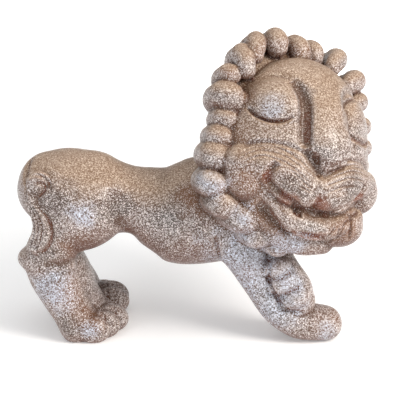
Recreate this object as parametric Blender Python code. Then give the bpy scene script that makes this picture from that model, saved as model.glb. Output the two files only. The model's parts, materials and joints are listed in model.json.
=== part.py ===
"""A stoneware lion figurine, slip-cast in one piece and glazed all over.

The lion strides forward with its left forepaw laid on its right foot, and turns its big maned head to its
right. The part is one solid: the body, the head, the mane and the tail were cast together.

Axes: X points along the body towards the chest, Y towards the lion's left flank and Z up. The soles rest
on Z = 0. Sizes are millimetres; a frame matrix turns them into metres where a shape is placed.

The form is worked like clay. Closed skins and eggs are laid over each other, fused by a voxel remesh and
smeared by a smooth modifier. Crisp shapes are then added and fused with hardly any smearing, grooves are
drawn with a rounded tool, and last the mesh is thinned to facets and the soles are ground flat.
"""

import math

import bmesh
import bpy
import numpy as np
from mathutils import Matrix, Vector
from mathutils.bvhtree import BVHTree

MM = 0.001

# The middle of the lion's footprint box in the working axes; it becomes the part's origin.
MIDDLE = (-1.56, -1.66, 0)

# How finely the clay is worked, and how much it is smeared.
SOFT_GRAIN = 2.2
CRISP_GRAIN = 1.5
SOFT_ROUNDS = 14
CRISP_ROUNDS = 3
FACETS = 9400

# The body, as stations along X: height of the axis, half width, half height.
TORSO = (
    # x, y, z, half width, half height
    (-100, 0, 116, 36, 36),
    (-85, 0, 115, 34, 35.5),
    (-73, 0, 113, 33, 31.5),
    (-57, 0, 111, 31, 27),
    (-45, 0, 108.5, 33, 29),
    (-34, 0, 104.5, 35, 35),
    (-22, 0, 101.5, 38, 41.5),
    (-12, 0, 99.5, 40, 43.5),
    (8, 0, 102.7, 42, 44.5),
    (28, 0, 108, 40, 44),
    (44, 0, 112, 34, 38),
)
NECK = (
    (20, 5, 108, 36, 38),
    (34, 8, 114, 42, 43),
    (56, 8, 130, 46, 48),
)
RUMP_CENTRE = (-106, 0, 120)
RUMP_RADII = (42, 40, 32.5)
RUMP_END_CENTRE = (-121, 0, 121)
RUMP_END_RADII = (26.5, 32, 29.5)
HAUNCH_CENTRE = (-95, 18, 108)
HAUNCH_RADII = (40, 26, 33)
HAUNCH_RISE = 24

# The legs, from the top down.
HIND_LEG = (
    (-106, 20, 112, 20, 28),
    (-111, 22, 92, 19, 21),
    (-120, 24, 74, 18, 20.5),
    (-120, 25, 58, 17, 20),
    (-113, 26, 40, 17, 18),
    (-105, 26, 23, 17, 16.5),
    (-101, 26, 10, 17.5, 15.5),
)
HOCK_CENTRE = (-131, 24, 69.5)
HOCK_RADII = (16.5, 15, 11)
HIND_FOOT = (
    (-101, 26, 12, 17.5, 14),
    (-88, 25, 10, 19, 12),
)
HIND_TOES = (
    # x, y, z, then radii along, across and up: the right foot, then the taller left foot
    (-87, -34.5, 9.5, 14, 9, 11.5),
    (-80, -26, 10, 14.5, 9, 12),
    (-74, -15, 10.5, 14.5, 10, 12),
    (-85, 34.5, 9.5, 15, 9, 13),
    (-78, 26, 11.5, 16, 10, 14),
    (-75.5, 15, 12, 14.5, 10, 12.5),
)
# How far each station of the left hind leg and foot, and its hock, stands forward of the right one's.
LEFT_LEG_SHIFTS = (1, 1, -2, -4, -2, 1, 1)
LEFT_FOOT_SHIFTS = (1, 1)
LEFT_HOCK_SHIFT = 8
# A web of clay joins the two hind legs and runs out between the feet.
WEB = (
    (-113, -4, 66, 22, 14),
    (-105, -5, 46, 24, 15.5),
    (-97, -4, 28, 22, 12.5),
    (-88, -2, 15.5, 18, 11),
    (-77, 0, 11, 10, 7),
)
FORE_LEG = (
    (18, -20, 100, 22, 26),
    (34, -25, 77, 19, 19),
    (47, -27, 50, 16, 13.5),
    (61, -27, 27, 17.5, 12.5),
    (78, -26, 15, 19, 14),
    (92, -25, 12.5, 19.5, 14.5),
    (104, -25, 11.5, 18.5, 13.5),
)
FAR_FORE_LEG = (
    (14, 22, 100, 22, 28),
    (34, 22, 88, 19, 21),
    (48, 8, 76, 17, 18),
    (57, -8, 62, 16, 16),
)
PAW = (
    (60, -20, 68, 15, 15),
    (66, -26, 56, 16, 16.5),
    (75, -28, 43, 16, 16.5),
    (80, -29, 34, 14, 14),
)
PAW_TOES = (
    (61, -37, 66, 12, 8, 7.5),
    (66, -39, 54, 13, 9, 8.5),
    (76, -39, 41, 13, 9, 9),
)
PAW_TOE_RISE = 22

# The head: where its middle is, and how far its face is turned from the right flank towards the front,
# lifted and tilted.
HEAD_CENTRE = (72, -10, 151)
HEAD_TURN = 25
HEAD_LIFT = 20
HEAD_TILT = -18
FACE_RADII = (63, 78, 52)
SKULL_CENTRE = (0, 4, -20)
SKULL_RADII = (62, 72, 46)

# The muzzle and nose sit a little to the left of the head's middle.
MUZZLE_SHIFT = 0.5
NOSE = (
    # side, up, out, half width, half depth
    (1, 50, 27, 25, 10),
    (2, 32, 40, 19.5, 11),
    (2.5, 16, 46, 19, 12),
    (4, 5, 49, 19, 11.5),
    (5.5, -2, 50, 17, 10),
    (5, -7, 48, 12, 8),
)
LIP = (
    (-36, -31, 27, 7, 7),
    (-28, -39, 30, 7.5, 7.5),
    (-21, -47, 33, 7.5, 8),
    (-9, -54.5, 36, 8, 8.5),
    (5, -57, 36, 9, 9),
    (20, -55, 35, 9, 9),
    (35, -49, 31, 8, 8),
    (50, -42, 24, 7, 7),
)
CHIN_CENTRE = (38, -49, 18)
CHIN_RADII = (22, 18, 19)

# The mane, a ring of locks laid from the face backwards. The ring has its own middle and its own turn.
MANE_CENTRE = (76, 0, 157)
MANE_TURN = 36
MANE_LIFT = 16
MANE_BED_CENTRE = (0, 0, -12)
MANE_BED_RADII = (76, 77, 28)
LOCKS = (
    # angle round the ring from the lion's left, radius, thickness, how far forward, lean of the inner end,
    # and how far that end reaches over the face
    (-39, 70, 18, 0, 0, 1),
    (-25, 72, 17, 0, 0, 1),
    (-12, 74, 16, 0, 0, 1),
    (2, 75, 17, 0, 1, 0.95),
    (17, 79, 17, 0, 3, 1),
    (28, 85, 19, 0, 7, 1.2),
    (46, 86, 17, 0, 7, 1.2),
    (65, 80, 17, 0, 0, 0.6),
    (77, 80, 18, 0, 0, 0.7),
    (90.5, 85, 19, 0, 3, 0.5),
    (103, 88, 16, 0, 8, 0.6),
    (114.5, 86, 16, 0, 8, 0.8),
    (129, 83, 16, 0, 0, 0.25),
    (141, 78, 22, 0, 0, 0.6),
    (153, 71, 18, 0, 2, 0.4),
    (165, 74, 19, 0, 2, 0.35),
    (176, 78, 23, 0, 3, 0.45),
    (-171, 89, 20, 3, 2, 0.35),
    (-160, 88, 22, 6, 3, 0.2),
    (-149, 82, 26, 8, 5, 0.3),
    (-134, 83, 23, 10, 2, 0.2),
    (-120, 83, 20, 14, 0, 0.3),
)
BEARD = (
    # in the mane's own axes: side, up, forward, half width, half depth
    (-44, -60, 17, 11, 12),
    (-26, -71, 20, 11, 12),
    (-6, -75, 22, 10, 12),
)

# The tail lies on the right haunch, from the tuft over the hock up to the curled tip.
TAIL = (
    # x, z, half width, how far its middle stands proud of the haunch
    (-129, 83, 7, -1),
    (-124.5, 90, 9, 0),
    (-122, 101, 9, 0),
    (-125, 111, 8, 0),
    (-130, 119, 6.5, -0.5),
    (-132.5, 127, 5.5, -1),
    (-132.5, 134, 4.5, -2),
)
# The tip is curled into a flat disc: x, z, radii, how far it stands proud.
CURL_CENTRE = (-124.5, 133)
CURL_RADII = (10.5, 5, 11.5)
CURL_PROUD = -2
TAIL_DEPTH = 5


def frame_of(centre, turn, lift, tilt):
    """Axes for a head: X its left, Y its up and Z out of its face, in metres from millimetres."""
    turn, lift, tilt = (math.radians(angle) for angle in (turn, lift, tilt))
    out = Vector((math.sin(turn) * math.cos(lift), -math.cos(turn) * math.cos(lift), math.sin(lift)))
    level = Vector((math.cos(turn), math.sin(turn), 0))
    upright = out.cross(level)
    left = level * math.cos(tilt) + upright * math.sin(tilt)
    up = upright * math.cos(tilt) - level * math.sin(tilt)
    axes = Matrix((left, up, out)).transposed().to_4x4()
    return Matrix.Scale(MM, 4) @ Matrix.Translation(centre) @ axes


BODY = Matrix.Scale(MM, 4)
HEAD = frame_of(HEAD_CENTRE, HEAD_TURN, HEAD_LIFT, HEAD_TILT)
MUZZLE = HEAD @ Matrix.Translation((MUZZLE_SHIFT, 0, 0))
MANE = frame_of(MANE_CENTRE, MANE_TURN, MANE_LIFT, 0)
FLANK = frame_of((0, 0, 0), 0, 0, 0)


def through(rows, steps):
    """A smooth run of rows that passes through the given rows (Catmull-Rom)."""
    rows = np.array(rows, float)
    rows = np.vstack((2 * rows[0] - rows[1], rows, 2 * rows[-1] - rows[-2]))
    run = []
    for before, here, after, beyond in zip(rows, rows[1:], rows[2:], rows[3:]):
        for step in range(steps):
            t = step / steps
            bend = 2 * before - 5 * here + 4 * after - beyond
            swing = 3 * here - before - 3 * after + beyond
            run.append(0.5 * (2 * here + (after - before) * t + bend * t**2 + swing * t**3))
    run.append(rows[-2])
    return np.array(run)


def egg(clay, frame, centre, radii, turn=Matrix.Identity(4)):
    """Adds an ellipsoid."""
    place = frame @ Matrix.Translation(centre) @ turn @ Matrix.Diagonal((*radii, 1))
    bmesh.ops.create_icosphere(clay, subdivisions=4, radius=1, matrix=place)


def skin(clay, frame, stations, across=(0, 1, 0), sides=32):
    """Adds a closed skin through elliptical stations (x, y, z, half width, half depth), with round ends."""
    run = through(stations, 6)
    across = Vector(across)
    middles = [Vector(row[:3]) for row in run]
    ways = [after - before for before, after in zip(middles[:-1], middles[1:])]
    ways = [ways[0]] + [a.normalized() + b.normalized() for a, b in zip(ways, ways[1:])] + [ways[-1]]
    sections = [(middle, way.normalized(), 1) for middle, way in zip(middles, ways)]
    sizes = [(row[3], row[4]) for row in run]
    for end, sign in ((0, -1), (-1, 1)):
        middle, way, _ = sections[end]
        reach = min(sizes[end]) * sign
        for angle in (25, 48, 68, 84):
            angle = math.radians(angle)
            cap = (middle + way * reach * math.sin(angle), way, math.cos(angle))
            if sign < 0:
                sections.insert(0, cap)
                sizes.insert(0, sizes[0])
            else:
                sections.append(cap)
                sizes.append(sizes[-1])
    rings = []
    for (middle, way, shrink), (width, depth) in zip(sections, sizes):
        wide = (across - way * across.dot(way)).normalized()
        deep = way.cross(wide)
        ring = []
        for side in range(sides):
            angle = 2 * math.pi * side / sides
            offset = wide * width * math.cos(angle) + deep * depth * math.sin(angle)
            ring.append(clay.verts.new(frame @ (middle + offset * shrink)))
        rings.append(ring)
    for near, far in zip(rings, rings[1:]):
        for side in range(sides):
            beside = (side + 1) % sides
            clay.faces.new((near[side], near[beside], far[beside], far[side]))
    clay.faces.new(list(reversed(rings[0])))
    clay.faces.new(rings[-1])


def fused(clay, name, grain, rounds):
    """Fuses overlapping clay into one skin and smears it; returns the mesh."""
    mesh = bpy.data.meshes.new(name)
    clay.to_mesh(mesh)
    clay.free()
    body = bpy.data.objects.new(name, mesh)
    bpy.context.scene.collection.objects.link(body)
    voxels = body.modifiers.new("Fuse", "REMESH")
    voxels.mode = "VOXEL"
    voxels.voxel_size = grain * MM
    smear = body.modifiers.new("Smear", "SMOOTH")
    smear.factor = 0.5
    smear.iterations = rounds
    bpy.context.view_layer.update()
    result = bpy.data.meshes.new_from_object(body.evaluated_get(bpy.context.evaluated_depsgraph_get()))
    bpy.data.objects.remove(body)
    return result


def lay_body(clay):
    """The trunk, the legs and the head ball, to be smeared together."""
    skin(clay, BODY, TORSO)
    skin(clay, BODY, NECK)
    egg(clay, BODY, RUMP_CENTRE, RUMP_RADII)
    egg(clay, BODY, RUMP_END_CENTRE, RUMP_END_RADII)
    skin(clay, BODY, WEB)
    rise = Matrix.Rotation(math.radians(-HAUNCH_RISE), 4, "Y")
    for side in (-1, 1):
        x, y, z = HAUNCH_CENTRE
        egg(clay, BODY, (x, side * y, z), HAUNCH_RADII, rise)
    for leg in (FORE_LEG, FAR_FORE_LEG):
        skin(clay, BODY, leg)
    x, y, z = HOCK_CENTRE
    for limb, shifts in ((HIND_LEG, LEFT_LEG_SHIFTS), (HIND_FOOT, LEFT_FOOT_SHIFTS)):
        skin(clay, BODY, [(x, -y, *rest) for x, y, *rest in limb])
        skin(clay, BODY, [(x + shift, y, *rest) for (x, y, *rest), shift in zip(limb, shifts)])
    egg(clay, BODY, (x, -y, z), HOCK_RADII)
    egg(clay, BODY, (x + LEFT_HOCK_SHIFT, y, z), HOCK_RADII)
    egg(clay, HEAD, (0, 0, 0), FACE_RADII)
    egg(clay, HEAD, SKULL_CENTRE, SKULL_RADII)


def lay_lock(clay, angle, radius, thick, forward, lean, reach):
    """One lock of the mane: a short fat sausage bent over the rim from the face to the back."""
    half = thick / 2
    bend = (
        # distance out, distance forward, width and depth against the middle's, share of the lean
        (radius - 14 * reach, 12 * reach - 4, 0.9, 0.85, 1),
        (radius - 5 * reach, 9 * reach - 4, 1, 1, 0.4),
        (radius, -4, 1, 1, 0),
        (radius - 5, -18, 0.95, 0.9, 0),
        (radius - 18, -27, 0.9, 0.85, 0),
        (radius - 34, -37, 0.75, 0.75, 0),
    )
    stations = []
    for out, ahead, wide, deep, share in bend:
        way = math.radians(angle + lean * share)
        place = (out * math.cos(way), out * math.sin(way), ahead + forward)
        stations.append((*place, half * wide, half * deep))
    way = math.radians(angle)
    skin(clay, MANE, stations, (-math.sin(way), math.cos(way), 0))


def lay_features(clay):
    """The mane, the face, the toes and the raised paw."""
    egg(clay, MANE, MANE_BED_CENTRE, MANE_BED_RADII)
    for lock in LOCKS:
        lay_lock(clay, *lock)
    skin(clay, MANE, BEARD, (0, 0, 1))
    egg(clay, HEAD, (-43, -25, 17), (20, 20, 19))
    egg(clay, HEAD, (54, -21, 16), (16, 18, 18))
    for side in (-1, 1):
        # Each half of the muzzle is a smooth pad with a plump bean of lip under it.
        pad = (
            (side * 54, -16, 21, 13, 12),
            (side * 38, -17, 31, 15, 13),
            (side * 22, -21, 38.5, 18, 14),
            (side * 6, -29, 42, 14, 12),
        )
        skin(clay, MUZZLE, pad, (0, 1, 0))
        bean = (
            (side * 31.5, -24.5, 37, 10.5, 9.5),
            (side * 20, -31, 42, 12, 11),
            (side * 8, -34, 44, 10, 10),
        )
        skin(clay, MUZZLE, bean, (0, 1, 0))
    skin(clay, HEAD, LIP, (0, 0, 1))
    skin(clay, HEAD, NOSE, (1, 0, 0))
    egg(clay, HEAD, CHIN_CENTRE, CHIN_RADII)
    for x, y, z, along, wide, up in HIND_TOES:
        egg(clay, BODY, (x, y, z), (along, wide, up))
    skin(clay, BODY, PAW)
    for x, y, z, along, wide, up in PAW_TOES:
        egg(clay, BODY, (x, y, z), (along, wide, up), Matrix.Rotation(math.radians(-PAW_TOE_RISE), 4, "Y"))


def lay_tail(clay, haunch):
    """The tail, a band that follows the surface of the haunch."""
    stations = []
    for x, z, half, proud in TAIL:
        spot = haunch.touch(FLANK, x, z) / MM
        stations.append((x, spot.y - proud, z, TAIL_DEPTH, half))
    skin(clay, BODY, stations)
    x, z = CURL_CENTRE
    spot = haunch.touch(FLANK, x, z) / MM
    egg(clay, BODY, (x, spot.y - CURL_PROUD, z), CURL_RADII)


class Surface:
    """A worked surface that grooves are drawn on."""

    def __init__(self, mesh):
        self.mesh = mesh
        self.points = np.empty(len(mesh.vertices) * 3)
        mesh.vertices.foreach_get("co", self.points)
        self.points = self.points.reshape(-1, 3)
        self.normals = np.array([vertex.normal[:] for vertex in mesh.vertices])
        self.tree = BVHTree.FromPolygons(
            [vertex.co for vertex in mesh.vertices],
            [face.vertices for face in mesh.polygons],
        )

    def touch(self, frame, side, up):
        """Where a line along the frame's outward axis first meets the surface."""
        start = frame @ Vector((side, up, 200))
        way = frame @ Vector((side, up, 0)) - start
        return self.tree.ray_cast(start, way.normalized())[0]

    def draw(self, frame, path, wide, deep, taper=0.25):
        """Pushes the surface in along a path of (side, up) points; a negative depth raises a ridge."""
        run = through(path, 10)
        spots = [self.touch(frame, side, up) for side, up in run]
        kept = [step for step, spot in enumerate(spots) if spot]
        spots = np.array([spots[step][:] for step in kept])
        share = np.array(kept) / (len(run) - 1)
        strength = np.clip(np.minimum(share, 1 - share) / max(taper, 1e-6), 0, 1) ** 0.5
        reach = wide * MM
        low = spots.min(axis=0) - reach
        high = spots.max(axis=0) + reach
        near = np.flatnonzero(((self.points > low) & (self.points < high)).all(axis=1))
        gaps = np.linalg.norm(self.points[near, None] - spots[None], axis=2)
        closest = gaps.argmin(axis=1)
        share = gaps[np.arange(len(near)), closest] / reach
        fall = np.clip(1 - share**2, 0, 1) ** 2 * strength[closest]
        self.points[near] -= self.normals[near] * (fall * deep * MM)[:, None]

    def swell(self, frame, side, up, wide, tall, rise):
        """Raises a low dome with an oval outline, centred at (side, up)."""
        into = np.array(frame.inverted())
        local = self.points @ into[:3, :3].T + into[:3, 3]
        reach = ((local[:, 0] - side) / wide) ** 2 + ((local[:, 1] - up) / tall) ** 2
        fall = np.clip(1 - reach, 0, 1) ** 1.2 * (local[:, 2] > 0)
        self.points += self.normals * (fall * rise * MM)[:, None]

    def write(self):
        self.mesh.vertices.foreach_set("co", self.points.ravel())
        self.mesh.update()


def draw_face(surface):
    """The grooves of the face, as (side, up) paths."""
    # Brows over closed eyes, each eye a low dome with a lid line under it. The right eye swells more.
    for side, rise in ((-1, 4.5), (1, 2)):
        brow = ((53, 24), (53, 35), (45, 48), (33, 53), (24, 49), (18.5, 40), (17, 30), (16.5, 15))
        surface.draw(HEAD, [(side * a, b) for a, b in brow], 9, 2)
        surface.swell(HEAD, side * 35, 34, 21, 20, rise)
    surface.draw(HEAD, ((-55, 25), (-49, 18), (-41, 15), (-33, 15.5), (-26, 19)), 3, 2.6)
    surface.draw(HEAD, ((18, 18), (28, 15.5), (42, 14.5), (50, 17)), 3.5, 2.5)
    # The deep groove down the right side of the nose and the shallow one down its left, with the fold
    # of the left brow.
    beside = ((-27, 50), (-22, 45), (-19.5, 37), (-18.5, 27), (-18, 16), (-17, 6), (-15, -1))
    surface.draw(HEAD, beside, 7.5, 4)
    surface.draw(HEAD, ((-25, 48), (-21.5, 44), (-19.5, 37), (-18.5, 29)), 6, 1.5)
    surface.draw(HEAD, ((24, 51), (22, 40), (22, 27), (24, 12), (26, -3)), 9, 0.8)
    surface.draw(HEAD, ((16.5, 35), (20, 42), (28, 47), (37, 48)), 3.5, 2)
    # The sharp fold under the nose, and the nostril.
    surface.draw(HEAD, ((-15, -2), (-10.5, -8), (-4.5, -14), (1.5, -19.5)), 5, 4.5, 0.1)
    surface.draw(HEAD, ((1.5, -19.5), (7, -16.5), (13, -12), (20, -9)), 3.5, 2, 0.1)
    surface.draw(HEAD, ((-8, -6), (-6, -9), (-4, -13)), 4.5, 4)
    # The crease over the muzzle, and the mouth with its ends turned up round the beans.
    for side in (-1, 1):
        arc = ((56, -6), (50, -2.5), (43, -1), (35, -1), (24, -2.5), (13, -7), (4, -13))
        surface.draw(MUZZLE, [(side * a, b) for a, b in arc], 3, 1.5)
    right_mouth = (
        (-35, -15), (-39, -21), (-39, -28), (-33, -34.5), (-25, -39.5), (-16, -43), (-7, -44.5), (5, -45)
    )
    left_mouth = ((45, -17), (42.5, -25), (36, -32.5), (26, -39.5), (16, -44), (5, -45))
    surface.draw(HEAD, right_mouth, 4.5, 4.5, 0.1)
    surface.draw(HEAD, left_mouth, 4.5, 4, 0.1)
    surface.draw(HEAD, ((-37.5, -18), (-39, -22), (-38.5, -27)), 3.5, 3.5)
    surface.draw(HEAD, ((44, -20), (42, -25), (38.5, -29)), 3.5, 3)
    # A hollow behind the lower lip, the two folds of the chin, and the jaw that draws in beside it.
    surface.draw(HEAD, ((-13, -46), (-10, -48.5), (-6, -49)), 4, 3)
    surface.draw(HEAD, ((-38, -46), (-31, -51), (-24, -56), (-17, -61)), 8, 5)
    surface.draw(HEAD, ((-22, -57), (-16, -61), (-7, -64), (6, -64.5), (18, -63.5)), 5, 4.5)
    surface.draw(HEAD, ((39.5, -42), (40, -51), (42.5, -61)), 3, 2.2)
    surface.draw(HEAD, ((27, -54), (28, -59), (30, -65)), 3, 2.2)
    surface.draw(HEAD, ((36, -43), (43, -41), (50, -37)), 3, 2)


def draw_body(surface):
    """The creases of the body, as (x, z) paths on the right side."""
    surface.draw(FLANK, ((-134, 152), (-137, 141), (-137, 130), (-136, 120)), 4, 2.5)
    surface.draw(FLANK, ((-67, 130), (-66, 112), (-63, 95)), 9, 2)
    surface.draw(FLANK, ((-122, 71), (-110, 70), (-99, 70)), 5, 1.6)
    surface.draw(FLANK, ((12, 94), (13.5, 84), (15, 73)), 3.5, 2)
    # The edge of the tail's tuft, the edge of its curled tip and the spiral inside the curl.
    tuft_edge = ((-127.5, 122), (-124, 116), (-119, 110), (-116, 103), (-115.5, 95), (-117, 89), (-122, 82.5))
    surface.draw(FLANK, tuft_edge, 3, 1.5)
    surface.draw(FLANK, ((-132, 140.5), (-126.5, 142.8), (-121, 141), (-117, 136), (-115.5, 129.5)), 3, 1.2)
    spiral = ((-127.5, 136), (-124, 136.5), (-120, 135), (-119.6, 131.7), (-122, 128.5), (-125.5, 125))
    surface.draw(FLANK, spiral, 2.8, 1.8)


def thinned(mesh, name):
    """The worked surface in flat facets, with its soles ground flat at Z = 0."""
    body = bpy.data.objects.new(name, mesh)
    bpy.context.scene.collection.objects.link(body)
    thin = body.modifiers.new("Facets", "DECIMATE")
    thin.ratio = FACETS / (2 * len(mesh.polygons))
    bpy.context.view_layer.update()
    result = bpy.data.meshes.new_from_object(body.evaluated_get(bpy.context.evaluated_depsgraph_get()))
    bpy.data.objects.remove(body)
    clay = bmesh.new()
    clay.from_mesh(result)
    everything = clay.verts[:] + clay.edges[:] + clay.faces[:]
    cut = bmesh.ops.bisect_plane(
        clay, geom=everything, dist=1e-6, plane_co=(0, 0, 0), plane_no=(0, 0, 1), clear_inner=True
    )
    rim = [edge for edge in cut["geom_cut"] if isinstance(edge, bmesh.types.BMEdge)]
    bmesh.ops.holes_fill(clay, edges=rim, sides=0)
    bmesh.ops.triangulate(clay, faces=clay.faces[:])
    bmesh.ops.recalc_face_normals(clay, faces=clay.faces[:])
    clay.to_mesh(result)
    clay.free()
    return result


def glaze():
    """Brown glaze with a fine pale speckle, as one even colour."""
    material = bpy.data.materials.new("glaze")
    material.use_nodes = True
    shader = material.node_tree.nodes["Principled BSDF"]
    shader.inputs["Base Color"].default_value = (0.33, 0.22, 0.16, 1)
    shader.inputs["Roughness"].default_value = 0.35
    return material


def main():
    for item in list(bpy.data.objects):
        bpy.data.objects.remove(item)
    clay = bmesh.new()
    lay_body(clay)
    soft = fused(clay, "soft", SOFT_GRAIN, SOFT_ROUNDS)
    clay = bmesh.new()
    clay.from_mesh(soft)
    lay_features(clay)
    lay_tail(clay, Surface(soft))
    crisp = fused(clay, "crisp", CRISP_GRAIN, CRISP_ROUNDS)
    surface = Surface(crisp)
    draw_face(surface)
    draw_body(surface)
    surface.write()
    lion = bpy.data.objects.new("lion", thinned(crisp, "worked"))
    bpy.context.scene.collection.objects.link(lion)
    lion.data.materials.clear()
    lion.data.materials.append(glaze())
    lion.data.polygons.foreach_set("use_smooth", [True] * len(lion.data.polygons))
    lion.data.transform(Matrix.Translation(-MM * Vector(MIDDLE)))


main()
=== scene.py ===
# %% [markdown]
# # A glazed stoneware lion
#
# The real lion is slip-cast in one piece, gets its creases and whisker lines with a tool, and is dipped in a
# speckled glaze. So the visual model is one closed piece too, worked like clay: soft masses first, crisp
# forms on top, grooves last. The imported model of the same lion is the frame, and the finished clay is set
# exactly where it stands.

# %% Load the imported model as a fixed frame
import json
import math

import bmesh
import bpy
import numpy as np
from mathutils import Matrix, Vector
from mathutils.bvhtree import BVHTree
from mathutils.kdtree import KDTree

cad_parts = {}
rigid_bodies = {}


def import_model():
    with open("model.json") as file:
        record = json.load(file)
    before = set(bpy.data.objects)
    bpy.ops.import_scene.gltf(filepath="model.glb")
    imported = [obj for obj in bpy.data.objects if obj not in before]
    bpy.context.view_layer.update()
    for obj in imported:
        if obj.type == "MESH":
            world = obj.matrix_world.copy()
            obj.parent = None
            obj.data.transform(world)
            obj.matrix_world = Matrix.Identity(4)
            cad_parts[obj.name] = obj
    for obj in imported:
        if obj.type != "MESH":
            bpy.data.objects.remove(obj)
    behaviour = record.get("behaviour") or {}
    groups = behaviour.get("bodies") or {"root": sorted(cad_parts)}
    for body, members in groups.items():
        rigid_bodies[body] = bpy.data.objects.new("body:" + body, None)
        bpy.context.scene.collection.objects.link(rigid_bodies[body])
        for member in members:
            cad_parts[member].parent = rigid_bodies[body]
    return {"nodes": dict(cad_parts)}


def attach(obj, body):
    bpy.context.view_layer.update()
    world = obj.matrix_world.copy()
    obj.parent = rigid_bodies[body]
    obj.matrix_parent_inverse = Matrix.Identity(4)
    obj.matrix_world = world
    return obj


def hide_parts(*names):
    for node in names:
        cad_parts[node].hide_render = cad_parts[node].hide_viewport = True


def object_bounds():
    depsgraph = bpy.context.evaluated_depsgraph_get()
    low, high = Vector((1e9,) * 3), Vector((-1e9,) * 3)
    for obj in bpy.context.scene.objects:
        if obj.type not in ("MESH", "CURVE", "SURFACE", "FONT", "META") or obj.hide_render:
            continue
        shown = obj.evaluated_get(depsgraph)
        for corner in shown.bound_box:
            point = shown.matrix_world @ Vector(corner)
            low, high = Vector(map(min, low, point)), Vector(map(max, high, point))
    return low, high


for item in list(bpy.data.objects):
    bpy.data.objects.remove(item)
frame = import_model()
solid_box = [list(corner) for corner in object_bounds()]
MM = 0.001
print("the solid's box in mm:", [[round(value / MM, 1) for value in corner] for corner in solid_box])

# %% [markdown]
# ## Axes to work in
#
# A figure with a turned head is awkward to model in one set of axes. Each region gets its own frame: X to
# the lion's left, Y up and Z out of its face, and sizes are millimetres in all of them. A part of the face
# is then simply "30 to the side, 20 up", and the whole head can be turned by changing three angles.


# %% A frame for each region
def frame_of(centre, turn, lift, tilt):
    """Axes of a region that faces outwards from the right flank, turned to the front, lifted and tilted."""
    turn, lift, tilt = (math.radians(angle) for angle in (turn, lift, tilt))
    out = Vector((math.sin(turn) * math.cos(lift), -math.cos(turn) * math.cos(lift), math.sin(lift)))
    level = Vector((math.cos(turn), math.sin(turn), 0))
    upright = out.cross(level)
    left = level * math.cos(tilt) + upright * math.sin(tilt)
    up = upright * math.cos(tilt) - level * math.sin(tilt)
    axes = Matrix((left, up, out)).transposed().to_4x4()
    return Matrix.Scale(MM, 4) @ Matrix.Translation(centre) @ axes


BODY = Matrix.Scale(MM, 4)
FLANK = frame_of((0, 0, 0), 0, 0, 0)
HEAD = frame_of((72, -10, 151), 25, 20, -18)
MUZZLE = HEAD @ Matrix.Translation((0.5, 0, 0))
MANE = frame_of((76, 0, 157), 36, 16, 0)
print("the face looks along", [round(value / MM, 2) for value in HEAD.col[2][:3]])

# %% [markdown]
# ## Clay
#
# Smooth animal forms could be pushed out of a subdivided cage, but where limbs meet, a cage needs careful
# edge loops. Working like a potter is easier: closed skins and eggs simply overlap, a voxel remesh fuses
# them into one skin, and a few rounds of smoothing smear the joins. A finer voxel and fewer rounds keep
# the next layer crisp.


# %% Smooth runs and eggs
EGG_DETAIL = 5


def through(rows, steps):
    """A smooth run of rows that passes through the given rows (Catmull-Rom)."""
    rows = np.array(rows, float)
    rows = np.vstack((2 * rows[0] - rows[1], rows, 2 * rows[-1] - rows[-2]))
    run = []
    for before, here, after, beyond in zip(rows, rows[1:], rows[2:], rows[3:]):
        for step in range(steps):
            t = step / steps
            bend = 2 * before - 5 * here + 4 * after - beyond
            swing = 3 * here - before - 3 * after + beyond
            run.append(0.5 * (2 * here + (after - before) * t + bend * t**2 + swing * t**3))
    run.append(rows[-2])
    return np.array(run)


def egg(clay, axes, centre, radii, turn=Matrix.Identity(4)):
    """Adds an ellipsoid."""
    place = axes @ Matrix.Translation(centre) @ turn @ Matrix.Diagonal((*radii, 1))
    bmesh.ops.create_icosphere(clay, subdivisions=EGG_DETAIL, radius=1, matrix=place)


# %% Skins
CAP_ANGLES = (15, 30, 45, 60, 74, 86)
STATION_STEPS = 10


def skin(clay, axes, stations, across=(0, 1, 0), sides=48):
    """Adds a closed skin through elliptical stations (x, y, z, half width, half depth), with round ends."""
    run = through(stations, STATION_STEPS)
    across = Vector(across)
    middles = [Vector(row[:3]) for row in run]
    ways = [after - before for before, after in zip(middles[:-1], middles[1:])]
    ways = [ways[0]] + [a.normalized() + b.normalized() for a, b in zip(ways, ways[1:])] + [ways[-1]]
    sections = [(middle, way.normalized(), 1) for middle, way in zip(middles, ways)]
    sizes = [(row[3], row[4]) for row in run]
    for end, sign in ((0, -1), (-1, 1)):
        middle, way, _ = sections[end]
        reach = min(sizes[end]) * sign
        for angle in map(math.radians, CAP_ANGLES):
            cap = (middle + way * reach * math.sin(angle), way, math.cos(angle))
            place = 0 if sign < 0 else len(sections)
            sections.insert(place, cap)
            sizes.insert(place, sizes[end])
    rings = []
    for (middle, way, shrink), (width, depth) in zip(sections, sizes):
        wide = (across - way * across.dot(way)).normalized()
        deep = way.cross(wide)
        ring = []
        for side in range(sides):
            angle = 2 * math.pi * side / sides
            offset = wide * width * math.cos(angle) + deep * depth * math.sin(angle)
            ring.append(clay.verts.new(axes @ (middle + offset * shrink)))
        rings.append(ring)
    for near, far in zip(rings, rings[1:]):
        for side in range(sides):
            beside = (side + 1) % sides
            clay.faces.new((near[side], near[beside], far[beside], far[side]))
    clay.faces.new(list(reversed(rings[0])))
    clay.faces.new(rings[-1])


# %% Fusing
def added(name, data):
    item = bpy.data.objects.new(name, data)
    bpy.context.scene.collection.objects.link(item)
    return item


def settled(item):
    """The mesh after an object's modifiers; the object itself is removed."""
    bpy.context.view_layer.update()
    mesh = bpy.data.meshes.new_from_object(item.evaluated_get(bpy.context.evaluated_depsgraph_get()))
    bpy.data.objects.remove(item)
    return mesh


def evaluated(mesh, name, modifiers):
    """The mesh after a stack of modifiers, given as (kind, settings)."""
    item = added(name, mesh)
    for kind, settings in modifiers:
        modifier = item.modifiers.new(kind, kind)
        for setting, value in settings.items():
            setattr(modifier, setting, value)
    return settled(item)


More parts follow.
